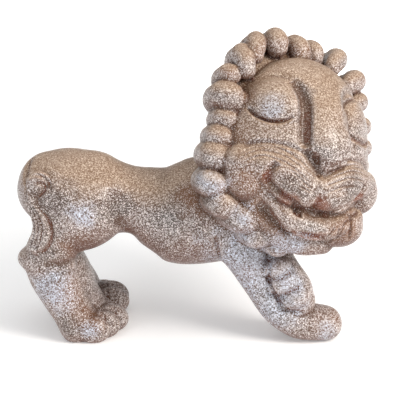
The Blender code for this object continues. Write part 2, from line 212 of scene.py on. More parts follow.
def fused(clay, name, grain, rounds):
    """Fuses overlapping clay into one skin with voxels of `grain` mm and smears it; returns the mesh."""
    mesh = bpy.data.meshes.new(name)
    clay.to_mesh(mesh)
    clay.free()
    fuse = ("REMESH", {"mode": "VOXEL", "voxel_size": grain * MM})
    smear = ("SMOOTH", {"factor": 0.5, "iterations": rounds})
    result = evaluated(mesh, name, (fuse, smear))
    print(f"{name}: {len(result.polygons)} faces of {grain} mm")
    return result


# %% [markdown]
# ## The trunk and the legs
#
# The lion has a round rump, a drawn-in loin and a deep chest, and it stands on three feet: the left forepaw
# is laid on the right forefoot. The trunk and each leg are one skin through elliptical stations, and the
# rump and haunches are eggs. This layer is smeared a lot, because a cast body has no hard edges.

# %% Sizes of the trunk, in millimetres: x, y, z, half width, half height
TRUNK = (
    (-100, 0, 116, 36, 36),
    (-85, 0, 115, 34, 35.5),
    (-73, 0, 113, 33, 31.5),
    (-57, 0, 111, 31, 27),
    (-45, 0, 108.5, 33, 29),
    (-34, 0, 104.5, 35, 35),
    (-22, 0, 101.5, 38, 41.5),
    (-12, 0, 99.5, 40, 43.5),
    (8, 0, 102.7, 42, 44.5),
    (28, 0, 108, 40, 44),
    (44, 0, 112, 34, 38),
)
NECK = (
    (20, 5, 108, 36, 38),
    (34, 8, 114, 42, 43),
    (56, 8, 130, 46, 48),
)
RUMP = ((-106, 0, 120), (42, 40, 32.5))
RUMP_END = ((-121, 0, 121), (26.5, 32, 29.5))
HAUNCH = ((-95, 18, 108), (40, 26, 33))
HAUNCH_RISE = Matrix.Rotation(math.radians(-24), 4, "Y")

# %% Sizes of the legs, from the top down
HIND_LEG = (
    (-106, 20, 112, 20, 28),
    (-111, 22, 92, 19, 21),
    (-120, 24, 74, 18, 20.5),
    (-120, 25, 58, 17, 20),
    (-113, 26, 40, 17, 18),
    (-105, 26, 23, 17, 16.5),
    (-101, 26, 10, 17.5, 15.5),
)
HIND_FOOT = (
    (-101, 26, 12, 17.5, 14),
    (-88, 25, 10, 19, 12),
)
HOCK = ((-131, 24, 69.5), (16.5, 15, 11))
WEB = (
    (-113, -4, 66, 22, 14),
    (-105, -5, 46, 24, 15.5),
    (-97, -4, 28, 22, 12.5),
    (-88, -2, 15.5, 18, 11),
    (-77, 0, 11, 10, 7),
)
LEFT_LEG_SHIFTS = (1, 1, -2, -4, -2, 1, 1)
LEFT_FOOT_SHIFTS = (1, 1)
LEFT_HOCK_SHIFT = 8
FORE_LEG = (
    (18, -20, 100, 22, 26),
    (34, -25, 77, 19, 19),
    (47, -27, 50, 16, 13.5),
    (61, -27, 27, 17.5, 12.5),
    (78, -26, 15, 19, 14),
    (92, -25, 12.5, 19.5, 14.5),
    (104, -25, 11.5, 18.5, 13.5),
)
RAISED_LEG = (
    (14, 22, 100, 22, 28),
    (34, 22, 88, 19, 21),
    (48, 8, 76, 17, 18),
    (57, -8, 62, 16, 16),
)

# %% [markdown]
# ## The head ball
#
# Under the face lie two eggs: a broad flat one for the face and a deeper one for the skull behind it. They
# belong to the soft layer, so the head grows out of the neck without a seam.

# %% Sizes of the head ball, and of the clay's two layers
FACE_BALL = ((0, 0, 0), (63, 78, 52))
SKULL = ((0, 4, -20), (62, 72, 46))
# The voxel in millimetres and the rounds of smoothing.
SOFT = (1.4, 35)
CRISP = (0.9, 6)


# %% Lay the soft layer
def mirrored(side, centre):
    """A place on the right side (-1) or the left side (1)."""
    return (centre[0], side * centre[1], centre[2])


def lay_body(clay):
    skin(clay, BODY, TRUNK)
    skin(clay, BODY, NECK)
    egg(clay, BODY, *RUMP)
    egg(clay, BODY, *RUMP_END)
    skin(clay, BODY, WEB)
    for side in (-1, 1):
        egg(clay, BODY, mirrored(side, HAUNCH[0]), HAUNCH[1], HAUNCH_RISE)
        for limb, shifts in ((HIND_LEG, LEFT_LEG_SHIFTS), (HIND_FOOT, LEFT_FOOT_SHIFTS)):
            shifts = [0] * len(limb) if side < 0 else shifts
            skin(clay, BODY, [(x + shift, side * y, *rest) for (x, y, *rest), shift in zip(limb, shifts)])
        hock = Matrix.Translation((0 if side < 0 else LEFT_HOCK_SHIFT, 0, 0))
        egg(clay, BODY @ hock, mirrored(side, HOCK[0]), HOCK[1])
    skin(clay, BODY, FORE_LEG)
    skin(clay, BODY, RAISED_LEG)
    egg(clay, HEAD, *FACE_BALL)
    egg(clay, HEAD, *SKULL)


clay = bmesh.new()
lay_body(clay)
soft = fused(clay, "soft layer", *SOFT)

# %% [markdown]
# ## The mane
#
# The mane is a ring of twenty-two fat locks, bent over the rim of the head from the face to the back, and
# they all follow one rule. That is work for Geometry Nodes: the script gives one point for each lock, with
# its angle, rim radius, thickness, forward shift, lean and reach as attributes. The tree puts a straight
# spine on each point, bends it by curves and sweeps a round profile along it. Locks modelled by hand could
# look the same, but a change to the bend would mean twenty-two edits.

# %% The locks round the ring
LOCK_FIELDS = ("angle", "rim", "thick", "forward", "lean", "reach")
LOCKS = (
    (-39, 70, 18, 0, 0, 1),
    (-25, 72, 17, 0, 0, 1),
    (-12, 74, 16, 0, 0, 1),
    (2, 75, 17, 0, 1, 0.95),
    (17, 79, 17, 0, 3, 1),
    (28, 85, 19, 0, 7, 1.2),
    (46, 86, 17, 0, 7, 1.2),
    (65, 80, 17, 0, 0, 0.6),
    (77, 80, 18, 0, 0, 0.7),
    (90.5, 85, 19, 0, 3, 0.5),
    (103, 88, 16, 0, 8, 0.6),
    (114.5, 86, 16, 0, 8, 0.8),
    (129, 83, 16, 0, 0, 0.25),
    (141, 78, 22, 0, 0, 0.6),
    (153, 71, 18, 0, 2, 0.4),
    (165, 74, 19, 0, 2, 0.35),
    (176, 78, 23, 0, 3, 0.45),
    (-171, 89, 20, 3, 2, 0.35),
    (-160, 88, 22, 6, 3, 0.2),
    (-149, 82, 26, 8, 5, 0.3),
    (-134, 83, 23, 10, 2, 0.2),
    (-120, 83, 20, 14, 0, 0.3),
)
ring = bpy.data.meshes.new("ring of locks")
ring.from_pydata([(0, 0, 0)] * len(LOCKS), [], [])
for field, values in zip(LOCK_FIELDS, zip(*LOCKS)):
    ring.attributes.new(field, "FLOAT", "POINT").data.foreach_set("value", values)
print(len(LOCKS), "locks, radius", min(lock[1] for lock in LOCKS), "to", max(lock[1] for lock in LOCKS), "mm")


# %% Helpers for writing node trees
def put(tree, value, socket):
    """Gives a socket a plain value or, from another socket, a link."""
    if isinstance(value, bpy.types.NodeSocket):
        tree.links.new(value, socket)
    else:
        socket.default_value = value


def node(tree, kind, **values):
    """A node with the given inputs, whose names have _ for a space."""
    made = tree.nodes.new(kind)
    for name, value in values.items():
        put(tree, value, made.inputs[name.replace("_", " ")])
    return made


def maths(tree, operation, *terms, kind="Math"):
    """A Math or VectorMath node on numbers or sockets; returns its result."""
    made = tree.nodes.new("ShaderNode" + kind)
    made.operation = operation
    for socket, term in zip(made.inputs, terms):
        put(tree, term, socket)
    return made.outputs[0]


def clamped(tree, operation, *terms):
    """A Math node whose result is held between 0 and 1."""
    made = maths(tree, operation, *terms)
    made.node.use_clamp = True
    return made


def bent(tree, along, stops):
    """A number that runs smoothly through evenly spaced stops as `along` goes from 0 to 1."""
    made = node(tree, "ShaderNodeFloatCurve", Value=along)
    low, high = min(stops), max(stops)
    points = made.mapping.curves[0].points
    while len(points) < len(stops):
        points.new(0.5, 0.5)
    for step, (point, stop) in enumerate(zip(points, stops)):
        point.location = (step / (len(stops) - 1), (stop - low) / (high - low))
    made.mapping.update()
    return maths(tree, "MULTIPLY_ADD", made.outputs[0], high - low, low)


# %% The bend of one lock, from the face over the rim to the back
# The round cap and the lean reach over these shares of the lock.
CAP = 0.12
LEANING = 0.4
THINNEST = 0.05
FACE_OUT = (-14, -5, 0, 0, 0, 0)
FACE_AHEAD = (12, 9, 0, 0, 0, 0)
BACK_OUT = (0, 0, 0, -5, -18, -34)
BACK_AHEAD = (-4, -4, -4, -18, -27, -37)
BEND_SIZE = (0.88, 1, 1, 0.92, 0.87, 0.75)
CAP_WAY = (-0.95, 0.32)


# %% The place of each point of a lock
def lock_place(tree, field, along, tip):
    """Where a spine's point goes: out from the ring's middle at the lock's angle, and ahead or behind."""
    out = maths(tree, "MULTIPLY_ADD", bent(tree, along, FACE_OUT), field["reach"], field["rim"])
    out = maths(tree, "ADD", out, bent(tree, along, BACK_OUT))
    out = maths(tree, "MULTIPLY_ADD", tip, CAP_WAY[0], out)
    ahead = maths(tree, "MULTIPLY_ADD", bent(tree, along, FACE_AHEAD), field["reach"], field["forward"])
    ahead = maths(tree, "ADD", ahead, bent(tree, along, BACK_AHEAD))
    ahead = maths(tree, "MULTIPLY_ADD", tip, CAP_WAY[1], ahead)

    # The lean turns only the face's end of the lock.
    leaning = maths(tree, "MAXIMUM", maths(tree, "SUBTRACT", 1, maths(tree, "DIVIDE", along, LEANING)), 0)
    way = maths(tree, "RADIANS", maths(tree, "MULTIPLY_ADD", field["lean"], leaning, field["angle"]))
    side = maths(tree, "MULTIPLY", out, maths(tree, "COSINE", way))
    up = maths(tree, "MULTIPLY", out, maths(tree, "SINE", way))
    return node(tree, "ShaderNodeCombineXYZ", X=side, Y=up, Z=ahead).outputs[0]


# %% The thickness along a lock
def lock_size(tree, half, along, cap):
    """The profile's size: full along the lock, and the edge of a circle over the cap."""
    round_end = maths(tree, "SQRT", maths(tree, "SUBTRACT", 1, maths(tree, "MULTIPLY", cap, cap)))
    size = maths(tree, "MULTIPLY", bent(tree, along, BEND_SIZE), maths(tree, "MULTIPLY", half, round_end))
    return maths(tree, "MAXIMUM", size, THINNEST)


# %% The tree that grows the locks
LOCK_INPUTS = {
    "Ring": "Geometry",
    "Plumpness": "Float",
    "Stations": "Int",
    "Sides": "Int",
    "Finish": "Material",
}


def lock_tree():
    tree = bpy.data.node_groups.new("mane locks", "GeometryNodeTree")
    for name, kind in LOCK_INPUTS.items():
        tree.interface.new_socket(name, in_out="INPUT", socket_type="NodeSocket" + kind)
    tree.interface.new_socket("Locks", in_out="OUTPUT", socket_type="NodeSocketGeometry")
    given = tree.nodes.new("NodeGroupInput").outputs

    def step(kind, **values):
        return node(tree, "GeometryNode" + kind, **values)

    field = {name: step("InputNamedAttribute", Name=name).outputs["Attribute"] for name in LOCK_FIELDS}
    spine = step("CurvePrimitiveLine")
    spine = step("ResampleCurve", Curve=spine.outputs[0], Count=given["Stations"])
    spines = step("InstanceOnPoints", Points=given["Ring"], Instance=spine.outputs[0])
    spines = step("RealizeInstances", Geometry=spines.outputs[0])

    # How far along the lock a point is, with a round cap at the face's end.
    run = step("SplineParameter").outputs["Factor"]
    along = maths(tree, "MAXIMUM", maths(tree, "DIVIDE", maths(tree, "SUBTRACT", run, CAP), 1 - CAP), 0)
    cap = maths(tree, "MAXIMUM", maths(tree, "SUBTRACT", 1, maths(tree, "DIVIDE", run, CAP)), 0)
    half = maths(tree, "MULTIPLY", field["thick"], maths(tree, "MULTIPLY", given["Plumpness"], 0.5))
    tip = maths(tree, "MULTIPLY", maths(tree, "MULTIPLY", half, BEND_SIZE[0]), cap)
    place = lock_place(tree, field, along, tip)
    spines = step("SetPosition", Geometry=spines.outputs[0], Position=place)
    profile = step("CurvePrimitiveCircle", Resolution=given["Sides"], Radius=1).outputs[0]
    size = lock_size(tree, half, along, cap)
    locks = step("CurveToMesh", Curve=spines.outputs[0], Profile_Curve=profile, Scale=size, Fill_Caps=True)
    locks = step("RealizeInstances", Geometry=locks.outputs[0])
    locks = step("SetMaterial", Geometry=locks.outputs[0], Material=given["Finish"])
    tree.links.new(locks.outputs[0], tree.nodes.new("NodeGroupOutput").inputs["Locks"])
    return tree


# %% Grow the locks and turn the result into a plain mesh
glaze = bpy.data.materials.new("speckled_glaze")
grower = added("mane locks", ring)
grow = grower.modifiers.new("Grow", "NODES")
grow.node_group = lock_tree()
LOCK_VALUES = {"Plumpness": 1.0, "Stations": 40, "Sides": 32, "Finish": glaze}
for socket in grow.node_group.interface.items_tree:
    if socket.in_out == "INPUT" and socket.name in LOCK_VALUES:
        grow[socket.identifier] = LOCK_VALUES[socket.name]
locks = settled(grower)
locks.transform(MANE)
print("mane locks:", len(locks.polygons), "faces")

# %% [markdown]
# ## The face, the toes, the paw and the tail
#
# These are the crisp forms. The muzzle is two pads with a plump bean of lip under each, over a lower lip
# that runs from cheek to cheek, and the nose is one broad skin that spreads over the nostrils. Toes are
# eggs, and the tail is a thin skin that follows the haunch under it, so it is placed by touching the soft
# layer from the side instead of by measured depths.

# %% Sizes under the mane, in the ring's own axes
MANE_PAD = ((0, 0, -12), (76, 77, 28))
BEARD = (
    (-44, -60, 17, 11, 12),
    (-26, -71, 20, 11, 12),
    (-6, -75, 22, 10, 12),
)

# %% Sizes of the face, in the head's own axes: side, up, out, half width, half depth
NOSE = (
    (1, 50, 27, 25, 10),
    (2, 32, 40, 19.5, 11),
    (2.5, 16, 46, 19, 12),
    (4, 5, 49, 19, 11.5),
    (5.5, -2, 50, 17, 10),
    (5, -7, 48, 12, 8),
)
LIP = (
    (-36, -31, 27, 7, 7),
    (-28, -39, 30, 7.5, 7.5),
    (-21, -47, 33, 7.5, 8),
    (-9, -54.5, 36, 8, 8.5),
    (5, -57, 36, 9, 9),
    (20, -55, 35, 9, 9),
    (35, -49, 31, 8, 8),
    (50, -42, 24, 7, 7),
)
RIGHT_CHEEK = ((-43, -25, 17), (20, 20, 19))
LEFT_CHEEK = ((54, -21, 16), (16, 18, 18))
CHIN = ((38, -49, 18), (22, 18, 19))
PAD = (
    (54, -16, 21, 13, 12),
    (38, -17, 31, 15, 13),
    (22, -21, 38.5, 18, 14),
    (6, -29, 42, 14, 12),
)
BEAN = (
    (31.5, -24.5, 37, 10.5, 9.5),
    (20, -31, 42, 12, 11),
    (8, -34, 44, 10, 10),
)

# %% Sizes of the toes, the paw and the tail
RIGHT_TOES = (
    ((-87, -34.5, 9.5), (14, 9, 11.5)),
    ((-80, -26, 10), (14.5, 9, 12)),
    ((-74, -15, 10.5), (14.5, 10, 12)),
)
LEFT_TOES = (
    ((-85, 34.5, 9.5), (15, 9, 13)),
    ((-78, 26, 11.5), (16, 10, 14)),
    ((-75.5, 15, 12), (14.5, 10, 12.5)),
)
PAW = (
    (60, -20, 68, 15, 15),
    (66, -26, 56, 16, 16.5),
    (75, -28, 43, 16, 16.5),
    (80, -29, 34, 14, 14),
)
PAW_TOES = (
    ((61, -37, 66), (12, 8, 7.5)),
    ((66, -39, 54), (13, 9, 8.5)),
    ((76, -39, 41), (13, 9, 9)),
)
PAW_TOE_RISE = Matrix.Rotation(math.radians(-22), 4, "Y")
TAIL_DEPTH = 5
TAIL = (
    (-129, 83, 7, -1),
    (-124.5, 90, 9, 0),
    (-122, 101, 9, 0),
    (-125, 111, 8, 0),
    (-130, 119, 6.5, -0.5),
    (-132.5, 127, 5.5, -1),
    (-132.5, 134, 4.5, -2),
)
CURL = ((-124.5, 133), (10.5, 5, 11.5), -2)


# %% A surface that can be touched and drawn on
FAR_OUT = 200
STROKE_STEPS = 12


def search_tree(mesh):
    return BVHTree.FromPolygons(
        [vertex.co for vertex in mesh.vertices], [face.vertices for face in mesh.polygons]
    )


class Surface:
    """A mesh whose points are pushed in along strokes, as a potter draws with a rounded tool."""

    def __init__(self, mesh):
        self.mesh = mesh
        count = len(mesh.vertices)
        self.points = np.empty(count * 3)
        self.normals = np.empty(count * 3)
        mesh.vertices.foreach_get("co", self.points)
        mesh.vertex_normals.foreach_get("vector", self.normals)
        self.points = self.points.reshape(-1, 3)
        self.normals = self.normals.reshape(-1, 3)
        self.tree = search_tree(mesh)

    def touch(self, axes, side, up):
        """Where a line along the frame's outward axis first meets the surface."""
        start = axes @ Vector((side, up, FAR_OUT))
        way = axes @ Vector((side, up, 0)) - start
        return self.tree.ray_cast(start, way.normalized())[0]

    def draw(self, axes, path, wide, deep, taper=0.25):
        """Pushes the surface in along a path of (side, up) points, less over the ends' share `taper`."""
        run = through(path, STROKE_STEPS)
        spots = [self.touch(axes, side, up) for side, up in run]
        kept = [step for step, spot in enumerate(spots) if spot]
        spots = np.array([spots[step][:] for step in kept])
        share = np.array(kept) / (len(run) - 1)
        strength = np.clip(np.minimum(share, 1 - share) / taper, 0, 1) ** 0.5
        reach = wide * MM
        low = spots.min(axis=0) - reach
        high = spots.max(axis=0) + reach
        near = np.flatnonzero(((self.points > low) & (self.points < high)).all(axis=1))
        gaps = np.linalg.norm(self.points[near, None] - spots[None], axis=2)
        closest = gaps.argmin(axis=1)
        away = gaps[np.arange(len(near)), closest] / reach
        fall = np.clip(1 - away**2, 0, 1) ** 2 * strength[closest]
        self.points[near] -= self.normals[near] * (fall * deep * MM)[:, None]

    def swell(self, axes, side, up, wide, tall, rise):
        """Raises a low dome with an oval outline, centred at (side, up)."""
        into = np.array(axes.inverted())
        local = self.points @ into[:3, :3].T + into[:3, 3]
        reach = ((local[:, 0] - side) / wide) ** 2 + ((local[:, 1] - up) / tall) ** 2
        fall = np.clip(1 - reach, 0, 1) ** 1.2 * (local[:, 2] > 0)
        self.points += self.normals * (fall * rise * MM)[:, None]

    def write(self):
        self.mesh.vertices.foreach_set("co", self.points.ravel())
        self.mesh.update()


# %% Lay the crisp layer over the soft one and fuse them
def lay_face(clay):
    egg(clay, HEAD, *RIGHT_CHEEK)
    egg(clay, HEAD, *LEFT_CHEEK)
    egg(clay, HEAD, *CHIN)
    for side in (-1, 1):
        for form in (PAD, BEAN):
            skin(clay, MUZZLE, [(side * x, *rest) for x, *rest in form])
    skin(clay, HEAD, LIP, (0, 0, 1))
    skin(clay, HEAD, NOSE, (1, 0, 0))


def lay_feet(clay):
    for centre, radii in RIGHT_TOES + LEFT_TOES:
        egg(clay, BODY, centre, radii)
    skin(clay, BODY, PAW)
    for centre, radii in PAW_TOES:
        egg(clay, BODY, centre, radii, PAW_TOE_RISE)


def lay_tail(clay, haunch):
    stations = []
    for x, z, half, proud in TAIL:
        spot = haunch.touch(FLANK, x, z) / MM
        stations.append((x, spot.y - proud, z, TAIL_DEPTH, half))
    skin(clay, BODY, stations)
    (x, z), radii, proud = CURL
    spot = haunch.touch(FLANK, x, z) / MM
    egg(clay, BODY, (x, spot.y - proud, z), radii)


clay = bmesh.new()
clay.from_mesh(soft)
clay.from_mesh(locks)
egg(clay, MANE, *MANE_PAD)
skin(clay, MANE, BEARD, (0, 0, 1))
lay_face(clay)
lay_feet(clay)
lay_tail(clay, Surface(soft))
worked = fused(clay, "crisp layer", *CRISP)
surface = Surface(worked)

# %% [markdown]
# ## Drawing the face
#
# Brows, eyelids, the sides of the nose and the mouth are grooves that a tool left in wet clay. They could
# be cut with Booleans, but a tool's groove has soft sides. Here, a groove is a path of a few points on the
# face, cast onto the surface along the head's outward axis, and every point of the mesh nearer than the
# tool's width is pushed in, most under the middle of the tool.

# %% Grooves of the face: a path of (side, up) points, the tool's width and depth, and the ends' taper
BROW = (((53, 24), (53, 35), (45, 48), (33, 53), (24, 49), (18.5, 40), (17, 30), (16.5, 15)), 9, 2)
# The eye's dome: side, up, half width, half height, and how far each eye stands out.
EYE = (35, 34, 21, 20)
RIGHT_EYE_RISE = 4.5
LEFT_EYE_RISE = 2
LID_TOOL = (2.6, 2.4)
LID = ((-53.5, 25.5), (-50, 20), (-44, 16.4), (-37.5, 15.8), (-32, 17.2), (-26.5, 20.5))
# The sides of the nose: deep on the right, shallow and running up into the brow on the left.
NOSE_GROOVES = (
    (((-27, 50), (-22, 45), (-19.5, 37), (-18.5, 27), (-18, 16), (-17, 6), (-15, -1)), 7.5, 4),
    (((-25, 48), (-21.5, 44), (-19.5, 37), (-18.5, 29)), 6, 1.5),
    (((24, 51), (22, 40), (22, 27), (24, 12), (26, -3)), 9, 0.8),
    (((16.5, 35), (20, 42), (28, 47), (37, 48)), 3.5, 2),
    (((18, 18), (28, 15.5), (42, 14.5), (50, 17)), 3.5, 2.5),
)
# The sharp fold under the nose, and the nostril.
NOSTRIL_GROOVES = (
    (((-15, -2), (-10.5, -8), (-4.5, -14), (1.5, -19.5)), 4.5, 4, 0.1),
    (((1.5, -19.5), (7, -16.5), (13, -12), (20, -9)), 3, 1.6, 0.1),
    (((-8, -6), (-6, -9), (-4, -13)), 4, 4),
)
MUZZLE_CREASE = (((56, -6), (50, -2.5), (43, -1), (35, -1), (24, -2.5), (13, -7), (4, -13)), 3, 1.5)

# %% Grooves of the mouth and the chin
RIGHT_MOUTH = (
    (-35, -15), (-39, -21), (-39, -28), (-33, -34.5), (-25, -39.5), (-16, -43), (-7, -44.5), (5, -45)
)
LEFT_MOUTH = ((45, -17), (42.5, -25), (36, -32.5), (26, -39.5), (16, -44), (5, -45))
# The mouth's ends turn up round the beans.
MOUTH_GROOVES = (
    (RIGHT_MOUTH, 4.5, 4.5, 0.1),
    (LEFT_MOUTH, 4.5, 4, 0.1),
    (((-37.5, -18), (-39, -22), (-38.5, -27)), 3.5, 3.5),
    (((44, -20), (42, -25), (38.5, -29)), 3.5, 3),
)
# A hollow behind the lower lip, the chin's two folds, and the jaw that draws in beside the chin.
CHIN_GROOVES = (
    (((-13, -46), (-10, -48.5), (-6, -49)), 4, 3),
    (((-38, -46), (-31, -51), (-24, -56), (-17, -61)), 8, 5),
    (((-22, -57), (-16, -61), (-7, -64), (6, -64.5), (18, -63.5)), 5, 4.5),
    (((39.5, -42), (40, -51), (42.5, -61)), 2.5, 2.2),
    (((27, -54), (28, -59), (30, -65)), 2.5, 2.2),
    (((36, -43), (43, -41), (50, -37)), 3, 2),
)


# %% Draw the form of the face
def draw_all(axes, strokes):
    for path, *tool in strokes:
        surface.draw(axes, path, *tool)
    print("drawn:", len(strokes), "strokes")


def both(path, *tool):
    """The same stroke on the right and the left of the face."""
    return [([(side * a, b) for a, b in path], *tool) for side in (-1, 1)]


draw_all(HEAD, both(*BROW))
right_eye, left_eye = [(side * EYE[0], *EYE[1:]) for side in (-1, 1)]
surface.swell(HEAD, *right_eye, RIGHT_EYE_RISE)
surface.swell(HEAD, *left_eye, LEFT_EYE_RISE)
draw_all(HEAD, ((LID, *LID_TOOL), *NOSE_GROOVES, *NOSTRIL_GROOVES))
draw_all(MUZZLE, both(*MUZZLE_CREASE))
draw_all(HEAD, MOUTH_GROOVES + CHIN_GROOVES)
surface.write()

# %% [markdown]
# ## Fine lines on the face
#
# The whisker lines and the lower edge of the lid are scratched with a needle. They are narrower than the
# faces of the mesh, and a finer voxel for the whole lion would take minutes. So only the faces under them
# are split into four before the needle goes over them.

# %% Fine lines of the face
RIGHT_WHISKERS = (
    ((-60, -14.8), (-55.5, -9.1), (-50.5, -6), (-40, -3.2), (-28, -6), (-16, -12.3), (-8, -17), (-2, -22)),
    ((-58.5, -17), (-54.5, -11.7), (-49, -8.4), (-43, -7), (-31.5, -8.8), (-20, -15), (-6, -24)),
    ((-56, -18.6), (-52, -14.8), (-47.5, -12.2), (-42.5, -11.3), (-30, -14.5), (-17, -21.8), (-9, -27)),
    ((-26.5, -19.6), (-20, -23.3), (-13, -27.6), (-7, -31)),
)
LEFT_WHISKERS = (
    ((8, -14.6), (12.7, -12.6), (19, -9), (25.6, -5.9), (34, -3.7), (44, -3.4)),
    ((4, -22), (10.4, -17.7), (18, -13.7), (27, -10.4), (38.4, -9.1), (48, -10.5)),
    ((3, -27), (9.5, -23.2), (17, -19.3), (25, -16.2), (36, -15.2), (48, -16)),
    ((5.4, -31.5), (12.6, -27.2), (20, -23.6), (29, -21.5), (40, -21)),
)
NICK = (((-18.5, -30), (-13.5, -31), (-8, -33)), 1.2, 1, 0.4)
NEEDLE = (1.2, 0.7)
LID_NEEDLE = (1.5, 1.4)
CHIN_TOOL = (2, 1.7)
CHIN_FOLDS = (
    ((43, -44.5), (37, -46), (32.5, -49), (30.6, -54), (30.8, -58), (31.5, -62)),
    ((22.5, -54.5), (20.2, -57.5), (18.8, -61), (18.5, -65)),
)
# Opposite corners, in the head's own axes, of the two blocks of finer mesh.
MUZZLE_BLOCK = ((-62, -36, 20), (54, 2, 80))
LID_BLOCK = ((-56, 11, 10), (-22, 28, 80))


# %% Split the mesh under the fine lines, and draw them
def divided(mesh, axes, low, high):
    """Splits each face between two corners of a frame into four."""
    clay = bmesh.new()
    clay.from_mesh(mesh)
    into = axes.inverted()
    chosen = set()
    for face in clay.faces:
        spot = into @ face.calc_center_median()
        if all(least < value < most for least, value, most in zip(low, spot, high)):
            chosen.update(face.edges)
    bmesh.ops.subdivide_edges(clay, edges=list(chosen), cuts=1, use_grid_fill=True)
    bmesh.ops.triangulate(clay, faces=[face for face in clay.faces if len(face.verts) > 4])
    clay.to_mesh(mesh)
    clay.free()


print("points before splitting:", len(worked.vertices))
divided(worked, HEAD, *MUZZLE_BLOCK)
divided(worked, HEAD, *LID_BLOCK)
print("points after splitting:", len(worked.vertices))
surface = Surface(worked)
draw_all(HEAD, [(path, *NEEDLE) for path in RIGHT_WHISKERS + LEFT_WHISKERS])
draw_all(HEAD, [(path, *CHIN_TOOL) for path in CHIN_FOLDS])
draw_all(HEAD, [NICK, (LID, *LID_NEEDLE)])
surface.write()
surface = Surface(worked)

# %% [markdown]
# ## Drawing the body
#
# The rump, the tail's tuft, the loin, the hock, the paw and the toes carry a few creases. They are drawn
# from the right flank, as (x, z) paths with the same tools as the face. The grooves of the tuft run along
# it, so they are worked out from the tail's own stations.

# %% Creases of the body
BODY_CREASES = (
    (((-134, 152), (-137, 141), (-137, 130), (-136, 120)), 4, 2.5),
    (((-67, 130), (-66, 112), (-63, 95)), 9, 2),
    (((-122, 71), (-110, 70), (-99, 70)), 5, 1.6),
    (((12, 94), (13.5, 84), (15, 73)), 3, 2),
)
PAW_EDGE = (((57, 76), (54, 66), (55, 56), (60, 45), (66, 36), (75, 30), (83, 29)), 3, 2.2)
FOLD_TOOL = (1.8, 1)
PAW_FOLDS = (
    ((56, 58), (64, 60), (72, 64)),
    ((62, 45), (71, 48), (80, 53)),
)
TOE_FOLDS = (
    ((-84, 27), (-79, 22), (-76, 14), (-77, 5)),
    ((-76, 28), (-71, 22), (-68, 14), (-69, 5)),
)
TUFT_EDGE = (
    (-127.5, 122), (-124, 116), (-119, 110), (-116, 103), (-115.5, 95), (-117, 89), (-122, 82.5), (-130, 80.5)
)
TAIL_CREASES = (
    (TUFT_EDGE, 2.5, 1.5),
    (((-132, 140.5), (-126.5, 142.8), (-121, 141), (-117, 136), (-115.5, 129.5)), 2.5, 1.2),
    (((-127.5, 136), (-124, 136.5), (-120, 135), (-119.6, 131.7), (-122, 128.5), (-125.5, 125)), 2.2, 1.8),
)
# The tuft's grooves lie at these shares of its half width, and it ends at the tail's fifth station.
TUFT_SHARES = (-0.8, -0.45, -0.1)
TUFT_TOOL = (1.8, 1.1)
TUFT = TAIL[:5]

# %% Draw the body
draw_all(FLANK, BODY_CREASES)
draw_all(FLANK, [PAW_EDGE] + [(path, *FOLD_TOOL) for path in PAW_FOLDS + TOE_FOLDS])
draw_all(FLANK, TAIL_CREASES)
tuft_grooves = [[(x + half * share, z) for x, z, half, _ in TUFT] for share in TUFT_SHARES]
draw_all(FLANK, [(path, *TUFT_TOOL) for path in tuft_grooves])
surface.write()

# %% [markdown]
# ## One light mesh on flat soles
#
# The voxel skin has far more faces than the smooth flanks need. Decimate collapses it to under 200,000
# triangles and keeps small faces where the surface bends. Then everything below the ground is cut away,
# which leaves three flat soles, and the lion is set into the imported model's box.

# %% Thin the mesh and cut the soles
MOST_TRIANGLES = 190000
thin = ("DECIMATE", {"ratio": MOST_TRIANGLES / (2 * len(worked.polygons))})
lion_mesh = evaluated(worked, "thinned", [thin])
clay = bmesh.new()
clay.from_mesh(lion_mesh)
everything = clay.verts[:] + clay.edges[:] + clay.faces[:]
cut = bmesh.ops.bisect_plane(
    clay, geom=everything, dist=1e-6, plane_co=(0, 0, 0), plane_no=(0, 0, 1), clear_inner=True
)
rim = [edge for edge in cut["geom_cut"] if isinstance(edge, bmesh.types.BMEdge)]
bmesh.ops.holes_fill(clay, edges=rim, sides=0)
bmesh.ops.triangulate(clay, faces=clay.faces[:])
print(len(clay.faces), "triangles after thinning")


# %% Keep one closed skin
def skins_of(clay):
    """The points of each skin that touches no other, the smallest skin first."""
    unseen = set(clay.verts)
    skins = []
    while unseen:
        skin = [unseen.pop()]
        for vertex in skin:
            near = {edge.other_vert(vertex) for edge in vertex.link_edges} & unseen
            unseen -= near
            skin.extend(near)
        skins.append(skin)
    return sorted(skins, key=len)


# Joining and thinning can leave crumbs of a few loose faces.
*crumbs, _ = skins_of(clay)
bmesh.ops.delete(clay, geom=[vertex for crumb in crumbs for vertex in crumb], context="VERTS")
bmesh.ops.recalc_face_normals(clay, faces=clay.faces[:])
print("loose crumbs removed:", len(crumbs))

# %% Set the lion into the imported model's box
low = [min(vertex.co[axis] for vertex in clay.verts) for axis in range(3)]
high = [max(vertex.co[axis] for vertex in clay.verts) for axis in range(3)]
shift = [(a + b - c - d) / 2 for a, b, c, d in zip(*solid_box, low, high)]
bmesh.ops.translate(clay, vec=(shift[0], shift[1], 0), verts=clay.verts[:])
clay.to_mesh(lion_mesh)
clay.free()
lion = added("glazed_lion", lion_mesh)
lion_mesh.polygons.foreach_set("use_smooth", [True] * len(lion_mesh.polygons))
print("moved by", [round(value / MM, 2) for value in shift[:2]], "mm;", len(lion_mesh.polygons), "triangles")

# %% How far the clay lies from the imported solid
glazed = search_tree(lion_mesh)
gaps = sorted(glazed.find_nearest(vertex.co)[3] / MM for vertex in frame["nodes"]["lion"].data.vertices)
print(f"gap to the solid's corners: middle {gaps[len(gaps) // 2]:.2f} mm, largest {gaps[-1]:.2f} mm")

